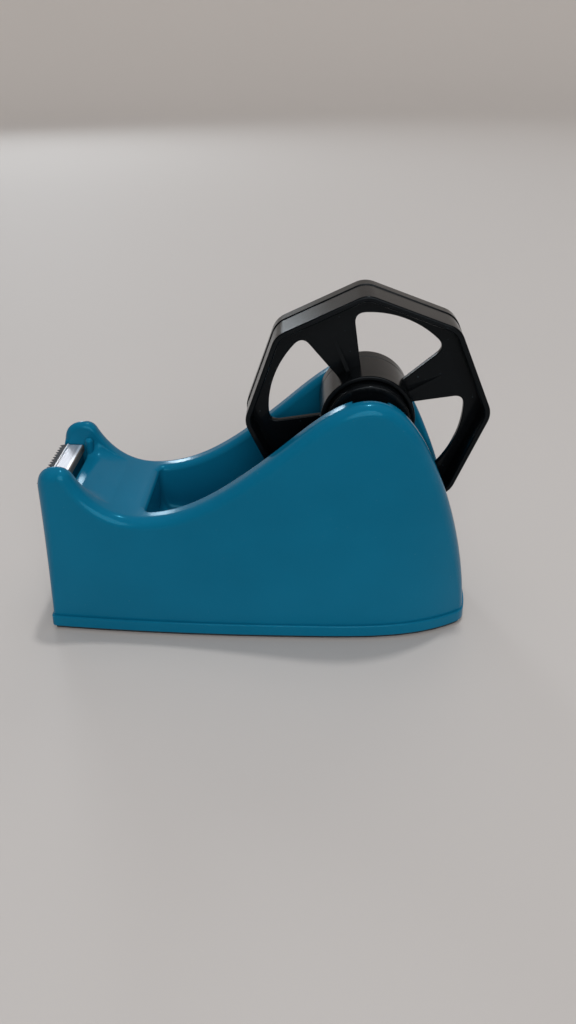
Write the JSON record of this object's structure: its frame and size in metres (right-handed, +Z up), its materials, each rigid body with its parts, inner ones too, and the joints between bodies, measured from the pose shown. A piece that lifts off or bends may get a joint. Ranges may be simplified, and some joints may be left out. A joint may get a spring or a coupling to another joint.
{
  "type": "desktop tape dispenser",
  "caption": "Desktop tape dispenser: weighted moulded body with a toothed cutting blade and a lift-out reel for small-core and large-core rolls.",
  "frame": {"origin": "middle of the underside of the non-slip pad, half way along the foot", "axes": "+X towards the hump and reel end, the blade end is at -X; +Y along the reel's axis, away from the camera in the picture; +Z up"},
  "size_m": [0.142, 0.0484, 0.1108],
  "materials": {
    "teal_plastic": "gloss moulded",
    "black_plastic": "gloss moulded",
    "pad_rubber": "matt",
    "ballast_iron": "as cast",
    "screw_steel": "bright",
    "blade_steel": "bright"
  },
  "bodies": {
    "base": {"body_shell": "teal_plastic", "base_plate": "teal_plastic", "nonslip_pad": "pad_rubber", "ballast_block": "ballast_iron", "base_screw_1": "screw_steel", "base_screw_2": "screw_steel", "base_screw_3": "screw_steel", "base_screw_4": "screw_steel", "cutter_blade": "blade_steel"},
    "axle": {"axle": "black_plastic"},
    "reel": {"core_drum": "black_plastic", "drum_cap": "black_plastic", "core_wheel": "black_plastic"}
  },
  "joints": [
    {"name": "reel_lift", "type": "slide", "parent": "base", "child": "axle", "axis": [0, 0, 1], "range_m": [0, 0.045]},
    {"name": "reel_spin", "type": "hinge", "parent": "axle", "child": "reel", "pos_m": [0.033, 0, 0.0733], "axis": [0, 1, 0], "continuous": true}
  ]
}
